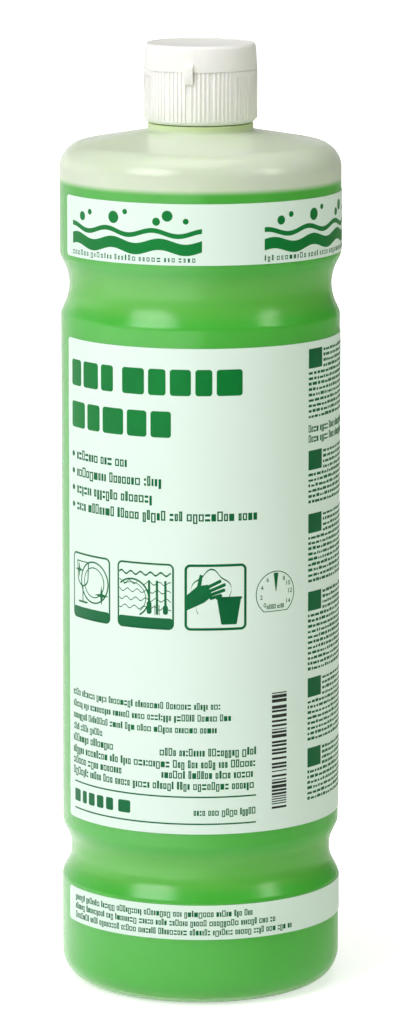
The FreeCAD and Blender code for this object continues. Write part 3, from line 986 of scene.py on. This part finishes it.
@dataclass
class MainLabel(FilmLabel):
    """The main label: heading blocks, bullet rows, three pictures, a dial, rows and stripes."""

    column: float = 80.6
    column_width: float = 60.0

    def heading(self, sheet: Sheet) -> None:
        """Two heavy rows of blank blocks.

        Args:
            sheet: The drawing.
        """
        for base, widths in (
            (171.6, (5.2, 6.4, 4.4, None, 6.8, 5.0, 5.8, 4.6, 7.2)),
            (160.0, (7.0, 5.2, 7.2, 6.0, 5.8)),
        ):
            left = 2.8
            for width in widths:
                if width is None:
                    left += 1.9
                    continue
                sheet.bar(left, base, left + width, base + 7.2, 0.8)
                left += width + 1.2

    def bullets(self, sheet: Sheet) -> None:
        """Four dotted rows.

        Args:
            sheet: The drawing.
        """
        rows = TextRows(height=2.0, seed=5)
        for middle, right in ((152.3, 25.8), (147.6, 37.4), (142.9, 35.1), (138.2, 63.6)):
            sheet.disc(3.5, middle + 0.2, 0.75)
            rows.row(sheet, 5.6, right, middle - 1.1)

    def glass_picture(self, sheet: Sheet, left: float) -> None:
        """A drinking glass before a plate, both sparkling.

        Args:
            sheet: The drawing.
            left: Left edge of the picture's frame, millimetres.
        """
        sheet.arc(left + 10.2, 117.6, 5.5, 0.42)
        sheet.arc(left + 10.2, 117.6, 4.0, 0.3)
        sheet.arc(left + 5.2, 118.6, 2.3, 0.4, 180, 180)
        sheet.stroke([(left + 2.5, 118.6), (left + 2.2, 123.0)], 0.4, upright=True)
        sheet.stroke([(left + 7.5, 118.6), (left + 7.8, 123.0)], 0.4, upright=True)
        sheet.bar(left + 2.4, 122.7, left + 8.0, 123.0)
        sheet.bar(left + 5.0, 111.8, left + 5.4, 116.2)
        sheet.bar(left + 3.0, 111.3, left + 7.4, 111.8, 0.2)
        for u, z, size in ((left + 3.4, 120.4, 2.2), (left + 13.4, 114.4, 2.7)):
            slim = size * 0.17
            sheet.polygon(
                [
                    (u, z - size), (u + slim, z - slim), (u + size, z), (u + slim, z + slim),
                    (u, z + size), (u - slim, z + slim), (u - size, z), (u - slim, z - slim),
                ]
            )

    def basin_picture(self, sheet: Sheet, left: float) -> None:
        """A plate and three pieces of cutlery in water.

        Args:
            sheet: The drawing.
            left: Left edge of the picture's frame, millimetres.
        """
        for z, width, phase in (
            (121.9, 0.5, 0.0), (119.4, 0.26, 1.0), (117.1, 0.26, 2.2), (114.8, 0.26, 3.1), (112.5, 0.26, 4.0),
        ):
            points = [
                (left + 0.6 + i * 0.33, z + 0.45 * math.sin(i * 0.33 * 2.1 + phase)) for i in range(48)
            ]
            sheet.stroke(points, width)
        sheet.arc(left + 4.6, 115.2, 5.0, 0.45, -62, 196)
        sheet.arc(left + 4.6, 115.2, 4.2, 0.2, -55, 180)
        for u in (9.9, 12.2, 14.6):
            sheet.bar(left + u - 0.32, 111.0, left + u + 0.32, 120.4, 0.28)
        sheet.bar(left + 9.2, 111.0, left + 10.6, 114.4, 0.5)
        sheet.bar(left + 13.9, 111.0, left + 15.3, 113.6, 0.65)
        for u in (11.6, 12.0, 12.4, 12.8):
            sheet.bar(left + u - 0.1, 110.8, left + u + 0.1, 113.6)

    def bucket_picture(self, sheet: Sheet, left: float) -> None:
        """A hand that wipes, and a bucket.

        Args:
            sheet: The drawing.
            left: Left edge of the picture's frame, millimetres.
        """
        sheet.polygon(
            [(left + 8.9, 115.6), (left + 15.6, 115.6), (left + 14.4, 108.4), (left + 10.1, 108.4)], 0.3
        )
        sheet.bar(left + 8.6, 115.4, left + 15.9, 116.1, 0.25)
        sheet.polygon(
            [
                (left + 0.6, 112.4), (left + 5.4, 114.6), (left + 7.6, 116.4), (left + 6.4, 119.6),
                (left + 3.6, 119.2), (left + 0.6, 116.6),
            ]
        )
        fingers = ((6.0, 118.6, 4.2), (6.6, 117.6, 4.8), (6.9, 116.6, 4.4), (7.0, 115.7, 3.4))
        for i, (u, z, length) in enumerate(fingers):
            rise, half = 0.48 - 0.07 * i, 0.42
            sheet.polygon(
                [
                    (left + u, z - half), (left + u + length, z - half + length * rise),
                    (left + u + length - 0.3, z + half + length * rise), (left + u - 0.3, z + half),
                ],
                0.2,
            )
        sheet.polygon(
            [(left + 3.4, 118.9), (left + 4.6, 119.4), (left + 5.0, 122.2), (left + 4.2, 122.4)], 0.2
        )
        cloud = []
        for i in range(61):
            angle = math.radians(i * 4.2 - 22)
            reach = 1 + 0.1 * math.sin(5 * angle)
            cloud.append((left + 7.4 + 5.2 * reach * math.cos(angle), 116.6 + 6.4 * reach * math.sin(angle)))
        sheet.stroke(cloud, 0.4)

    def pictures(self, sheet: Sheet) -> None:
        """Three framed pictures.

        Args:
            sheet: The drawing.
        """
        for left, right, width in ((3.3, 20.0, 0.5), (22.6, 39.6, 0.5), (42.5, 59.7, 0.7)):
            sheet.frame(left, 106.8, right, 125.2, 1.6, width)
        for left, right in ((3.3, 20.0), (22.6, 39.6)):
            sheet.bar(left + 0.3, 107.1, right - 0.3, 110.0, 0.9)
        self.glass_picture(sheet, 3.3)
        self.basin_picture(sheet, 22.6)
        self.bucket_picture(sheet, 42.5)

    def dial(self, sheet: Sheet) -> None:
        """A round dial with even figures and a pointer.

        Args:
            sheet: The drawing.
        """
        u, z = 68.7, 116.1
        sheet.arc(u, z, 6.05, 0.22, -52, 284)
        sheet.bar(u - 3.8, z - 5.0, u + 3.8, z - 4.8)
        angles = (222, 191, 158, 124, 56, 32, 4, -32)
        for number, angle in zip(range(0, 16, 2), angles):
            turn = math.radians(angle)
            sheet.figures(str(number), u + 4.7 * math.cos(turn), z + 4.7 * math.sin(turn), 1.25)
        sheet.polygon([(u - 0.1, z + 0.6), (u + 0.1, z + 0.6), (u + 0.75, z + 5.7), (u - 0.75, z + 5.7)])
        TextRows(height=0.9, seed=3).row(sheet, u - 2.9, u + 3.0, z - 4.2)

    def lower_rows(self, sheet: Sheet) -> None:
        """Two blocks of small print, the rules and the content.

        Args:
            sheet: The drawing.
        """
        small = TextRows(height=1.4, seed=21)
        for base, right in ((84.7, 53.0), (81.4, 56.0), (78.1, 51.5), (74.9, 17.0)):
            small.row(sheet, 2.9, right, base)
        wide = TextRows(height=1.6, seed=33)
        for base, ends in (
            (71.6, ((2.8, 21.0), (35.5, 62.6))), (68.3, ((2.8, 62.6),)),
            (65.3, ((2.8, 24.5), (36.0, 62.6))), (62.2, ((2.8, 62.6),)),
        ):
            for left, right in ends:
                wide.row(sheet, left, right, base)
        for z in (59.9, 52.3):
            sheet.bar(3.6, z, 62.6, z + 0.4)
        for left, right in ((3.6, 6.8), (8.0, 10.0), (11.0, 13.6), (14.6, 17.2), (18.2, 20.8), (22.6, 26.6)):
            sheet.bar(left, 54.5, right, 58.0, 0.5)
        TextRows(height=1.4, seed=8).row(sheet, 45.0, 62.6, 54.9)

    def columns(self, sheet: Sheet) -> None:
        """Columns of small print, each block led by a filled square.

        Args:
            sheet: The drawing.
        """
        tops = (182.5, 154.3, 136.7, 114.9, 90.6, 70.8)
        feet = (162.5, 139.0, 117.0, 92.8, 72.6, 55.6)
        for number in range(2):
            left = self.column + number * (self.column_width + 6.0)
            right = left + self.column_width
            rows = TextRows(height=0.66, seed=70 + number)
            for top, foot in zip(tops, feet):
                sheet.bar(left, top - 5.4, left + 6.4, top)
                base = top - 1.1
                while base > foot:
                    start = left + 7.2 if base > top - 6.0 else left
                    rows.words(sheet, start, right - rows.rhythm.uniform(0, 5), base)
                    base -= 1.5
            for base in (159.4, 156.6):
                rows_wide = TextRows(height=1.5, seed=90 + number)
                rows_wide.row(sheet, left, left + 38.0, base)

    def stripes(self, sheet: Sheet) -> None:
        """A stack of plain stripes of uneven breadth.

        Args:
            sheet: The drawing.
        """
        rhythm = random.Random(13)
        z = 55.6
        while z < 88.2:
            breadth = rhythm.choice((0.3, 0.3, 0.6, 0.6, 0.9))
            sheet.bar(67.5, z, 72.4, z + breadth)
            z += breadth + rhythm.choice((0.35, 0.35, 0.65, 0.9))

    def print_ink(self) -> None:
        """Print the label."""
        bold = self.sheet()
        self.heading(bold)
        self.ink(bold, "heading_blocks", GREEN_INK)
        fine = self.sheet()
        self.bullets(fine)
        self.pictures(fine)
        self.dial(fine)
        self.lower_rows(fine)
        self.ink(fine, "front_print", DEEP_GREEN_INK)
        side = self.sheet()
        side.pitch = 2.2
        self.columns(side)
        self.ink(side, "side_print", DEEP_GREEN_INK)
        dark = self.sheet()
        self.stripes(dark)
        self.ink(dark, "stripe_stack", BLACK_INK)


@dataclass
class FootBand(FilmLabel):
    """The band on the foot: three rows of small print."""

    def print_ink(self) -> None:
        """Print the band."""
        sheet = self.sheet()
        rows = TextRows(height=1.3, seed=44)
        for base, right in ((26.3, 63.0), (23.7, 69.0), (21.1, 75.0)):
            rows.row(sheet, 4.2, right, base)
        self.ink(sheet, "foot_band_rows", DEEP_GREEN_INK)


# Closure.


@dataclass
class FlipTop:
    """The closure: base and lid taken from the frame with their edges eased, and the hinge between them."""

    turn: float = -101.8
    hinge_reach: float = 15.9
    hinge_height: float = 257.15
    strap_width: float = 8.0
    strap_film: float = 0.4
    strap_low: float = 256.3
    strap_high: float = 258.0
    edge: float = 0.09
    edge_angle: float = 35.0
    flat_angle: float = 0.6
    lid_radius: float = 15.25
    lid_top: float = 264.5
    lid_rounding: float = 1.2
    lid_ring_angles: tuple[float, ...] = (0.0, 15.0, 30.0, 45.0, 60.0)
    bend: float = 0.5

    def soften_rim(self, bm: bmesh.types.BMesh) -> None:
        """Draw the lid's outer rim in to a wider rounding.

        Args:
            bm: The lid's mesh.
        """
        ring, level = (self.lid_radius - self.lid_rounding) * MM, (self.lid_top - self.lid_rounding) * MM
        for angle in self.lid_ring_angles:
            height = level + self.lid_rounding * MM * math.sin(math.radians(angle))
            bmesh.ops.bisect_plane(
                bm, geom=bm.verts[:] + bm.edges[:] + bm.faces[:], dist=0.0001 * MM,
                plane_co=(0, 0, height), plane_no=(0, 0, 1),
            )
        for vert in bm.verts:
            across = math.hypot(vert.co.x, vert.co.y)
            out, up = across - ring, vert.co.z - level
            reach = math.hypot(out, up)
            if out > 0 and up > 0 and reach > self.lid_rounding * MM:
                pull = self.lid_rounding * MM / reach
                share = (ring + out * pull) / across
                vert.co = Vector((vert.co.x * share, vert.co.y * share, level + up * pull))

    def eased(self, node: str, name: str, rim: bool = False) -> bpy.types.Object:
        """A merged copy of a CAD node with its sharp edges bevelled.

        Args:
            node: The CAD node.
            name: Name of the new piece.
            rim: Whether its outer rim is softened too.

        Returns:
            The new object.
        """
        bm = bmesh.new()
        bm.from_mesh(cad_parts[node].data)
        bm.transform(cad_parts[node].matrix_world)
        bmesh.ops.remove_doubles(bm, verts=bm.verts[:], dist=0.002 * MM)
        bmesh.ops.dissolve_limit(
            bm, angle_limit=math.radians(self.flat_angle), verts=bm.verts[:], edges=bm.edges[:],
            delimit={"NORMAL"},
        )
        if rim:
            self.soften_rim(bm)
        limit = math.radians(self.edge_angle)
        sharp = [e for e in bm.edges if len(e.link_faces) == 2 and e.calc_face_angle(0.0) > limit]
        bmesh.ops.bevel(
            bm, geom=sharp, offset=self.edge * MM, offset_type="OFFSET", segments=2, profile=0.5,
            affect="EDGES", clamp_overlap=True, material=-1,
        )
        return object_from(bm, name)

    def strap(self) -> bpy.types.Object:
        """The living hinge, cut into short lengths."""
        bm = bmesh.new()
        bmesh.ops.create_cube(bm, size=1.0)
        height = self.strap_high - self.strap_low
        bmesh.ops.scale(bm, vec=(self.strap_film * MM, self.strap_width * MM, height * MM), verts=bm.verts[:])
        upright = [e for e in bm.edges if abs(e.verts[0].co.z - e.verts[1].co.z) > height * MM / 2]
        bmesh.ops.subdivide_edges(bm, edges=upright, cuts=9, use_grid_fill=True)
        middle = (self.strap_low + self.strap_high) / 2
        bmesh.ops.translate(bm, vec=(-self.hinge_reach * MM, 0, middle * MM), verts=bm.verts[:])
        bmesh.ops.rotate(
            bm, cent=(0, 0, 0), matrix=Matrix.Rotation(math.radians(self.turn), 3, "Z"), verts=bm.verts[:]
        )
        return object_from(bm, "living_hinge")

    def build(self) -> None:
        """Build and dress the closure."""
        finish_piece(
            self.eased("cap_base", "closure_base"), WHITE_CLOSURE, Body.CLOSURE, Slot.CLOSURE, "cap_base"
        )
        lid = self.eased("flip_lid", "closure_lid", rim=True)
        finish_piece(lid, WHITE_CLOSURE, Body.LID, Slot.CLOSURE, "flip_lid")
        strap = self.strap()
        strap.data.materials.append(WHITE_CLOSURE.make())
        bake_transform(strap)
        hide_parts("hinge_strap")
        LOG.info("%s: bends between the closure and the lid", strap.name)


# Studio.


@dataclass(frozen=True)
class Softbox:
    """One rectangular studio lamp, aimed at the bottle.

    Attributes:
        name: Name of the lamp.
        azimuth: Degrees round from the front; positive is to the right.
        elevation: Degrees above level.
        distance: Metres from the aim.
        width: Metres.
        height: Metres.
        share: Brightness that it adds to a white surface that faces it.
        colour: Colour of the light.
    """

    name: str
    azimuth: float
    elevation: float
    distance: float
    width: float
    height: float
    share: float
    colour: tuple[float, float, float] = (1.0, 1.0, 1.0)

    def place(self, aim: Vector) -> bpy.types.Object:
        """Set up the lamp.

        Args:
            aim: The point that it faces.

        Returns:
            The lamp's object.
        """
        lamp = bpy.data.lights.new(self.name, "AREA")
        lamp.shape = "RECTANGLE"
        lamp.size, lamp.size_y = self.width, self.height
        lamp.energy = self.share * (math.pi * self.distance) ** 2
        lamp.color = self.colour
        holder = bpy.data.objects.new(self.name, lamp)
        turn, rise = math.radians(self.azimuth), math.radians(self.elevation)
        away = Vector((math.sin(turn) * math.cos(rise), -math.cos(turn) * math.cos(rise), math.sin(rise)))
        holder.location = aim + away * self.distance
        holder.rotation_euler = (-away).to_track_quat("-Z", "Y").to_euler()
        bpy.context.scene.collection.objects.link(holder)
        return holder


@dataclass
class Studio:
    """Pale floor, white surroundings, soft lamps and the camera."""

    aim: Vector = field(default_factory=lambda: Vector((0.0, 0.0, 0.132)))
    ambient: float = 0.26
    ambient_colour: tuple[float, float, float, float] = (1.0, 0.98, 0.88, 1.0)
    backdrop_low: float = 0.05
    backdrop_high: float = 0.4
    backdrop_dim: float = 0.06
    backdrop_left: float = 1.5
    backdrop_right: float = 0.08
    backdrop_turn: float = 0.6
    floor_tone: float = 0.84
    floor_near: float = 0.6
    floor_far: float = 1.0
    floor_left: tuple[float, float, float, float] = (1.0, 1.0, 1.0, 1.0)
    floor_right: tuple[float, float, float, float] = (0.06, 0.1, 0.02, 1.0)
    floor_mirrored: float = 2.3
    floor_behind: float = 0.4
    floor_reach: tuple[float, float] = (0.2, 1.2)
    floor_depth: tuple[float, float] = (-0.1, 0.2)
    floor_span: tuple[float, float] = (-0.12, 0.08)
    lens: float = 182.8
    stand: tuple[float, float, float] = (0.00028, -1.4333, 0.3834)
    tilt: float = 80.088
    lamps: tuple[Softbox, ...] = (
        Softbox("key_softbox", -45.0, 34.0, 1.5, 0.85, 0.7, 0.56, (0.98, 0.99, 1.0)),
        Softbox("side_softbox", 64.0, 30.0, 1.6, 0.36, 0.6, 0.16, (0.96, 1.0, 0.84)),
        Softbox("left_softbox", -102.0, 14.0, 1.6, 0.8, 1.2, 0.05, (0.97, 0.99, 1.0)),
        Softbox("top_softbox", -30.0, 78.0, 1.6, 1.2, 1.2, 0.41),
    )

    def seen_rays(self, tree: bpy.types.NodeTree, rays: bpy.types.Node) -> bpy.types.NodeSocket:
        """A mask of the rays that see the backdrop directly or through a clear piece.

        Args:
            tree: The node tree to add to.
            rays: Its Light Path node.

        Returns:
            The mask's socket.
        """
        return maths(tree, "MAXIMUM", rays.outputs["Is Camera Ray"], rays.outputs["Is Transmission Ray"])

    def surroundings(self) -> None:
        """White surroundings that light the object at a plain level."""
        world = bpy.data.worlds.new("surroundings")
        world.use_nodes = True
        tree = world.node_tree
        rays = add_node(tree, "ShaderNodeLightPath")
        way = add_node(tree, "ShaderNodeTexCoord")
        parts = add_node(tree, "ShaderNodeSeparateXYZ", {"Vector": way.outputs["Generated"]}).outputs
        fade = ramp(tree, parts["Z"], self.backdrop_low, self.backdrop_high, 1.0, self.backdrop_dim)
        sideways = ramp(
            tree, parts["X"], -self.backdrop_turn, self.backdrop_turn,
            self.backdrop_left, self.backdrop_right, smooth=False,
        )
        level = maths(tree, "MULTIPLY", fade, sideways)
        dim = (*(self.ambient * channel for channel in self.ambient_colour[:3]), 1.0)
        mirrored = mixed(tree, rays.outputs["Is Glossy Ray"], dim, level)
        colour = mixed(tree, self.seen_rays(tree, rays), mirrored, WHITE)
        tree.links.new(colour, tree.nodes["Background"].inputs["Color"])
        bpy.context.scene.world = world

    def floor(self) -> None:
        """A plain pale floor that keeps the object's shadow."""
        bm = bmesh.new()
        bmesh.ops.create_grid(bm, x_segments=1, y_segments=1, size=15.0)
        floor = object_from(bm, "studio_floor")
        material = bpy.data.materials.new("pale_floor")
        material.use_nodes = True
        tree = material.node_tree
        rays = add_node(tree, "ShaderNodeLightPath")
        glossy = rays.outputs["Is Glossy Ray"]
        spot = add_node(tree, "ShaderNodeTexCoord").outputs["Object"]
        parts = add_node(tree, "ShaderNodeSeparateXYZ", {"Vector": spot}).outputs
        behind = ramp(
            tree, parts["Y"], *self.floor_depth, self.floor_mirrored, self.floor_mirrored * self.floor_behind,
            smooth=False,
        )
        mirrored = maths(tree, "MULTIPLY", glossy, behind)
        away = add_node(tree, "ShaderNodeVectorMath", {0: spot}, operation="LENGTH").outputs["Value"]
        reach = ramp(tree, away, *self.floor_reach, self.floor_near, self.floor_far)
        across = ramp(tree, parts["X"], *self.floor_span, smooth=False)
        sides = mixed(tree, across, self.floor_left, self.floor_right)
        feed(
            tree, tree.nodes["Principled BSDF"],
            {
                "Base Color": (self.floor_tone, self.floor_tone, self.floor_tone, 1.0),
                "Roughness": 0.9, "Specular IOR Level": 0.0,
                "Emission Color": mixed(tree, glossy, WHITE, sides),
                "Emission Strength": maths(
                    tree, "MULTIPLY_ADD", self.seen_rays(tree, rays), reach, mirrored
                ),
            },
        )
        floor.data.materials.append(material)

    def camera(self) -> None:
        """The camera at the photograph's angle, with its long lens."""
        data = bpy.data.cameras.new("view")
        data.sensor_width = 36.0
        data.lens = self.lens
        data.clip_end = 60.0
        holder = bpy.data.objects.new("view", data)
        holder.location = self.stand
        holder.rotation_euler = (math.radians(self.tilt), 0.0, 0.0)
        bpy.context.scene.collection.objects.link(holder)
        bpy.context.scene.camera = holder

    def build(self) -> None:
        """Set up everything round the object."""
        self.surroundings()
        self.floor()
        for lamp in self.lamps:
            lamp.place(self.aim)
        self.camera()
        bpy.context.scene.view_settings.view_transform = "Standard"


def main() -> None:
    """Build the bottle, its labels, its closure and the studio in order."""
    logging.basicConfig(level=logging.INFO, format="%(name)s: %(message)s")
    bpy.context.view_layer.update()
    Studio().build()
    bottle = BlownBottle()
    bottle.build()
    panel = bottle.radius - bottle.recess
    labels = (
        TopBand("top_label", bottle.radius, 207.2, 223.9),
        MainLabel("main_label", panel, 49.6, 184.5),
        FootBand("foot_label", bottle.radius, 19.8, 29.5),
    )
    for label in labels:
        label.build()
        label.print_ink()
    FlipTop().build()


if __name__ == "__main__":
    main()
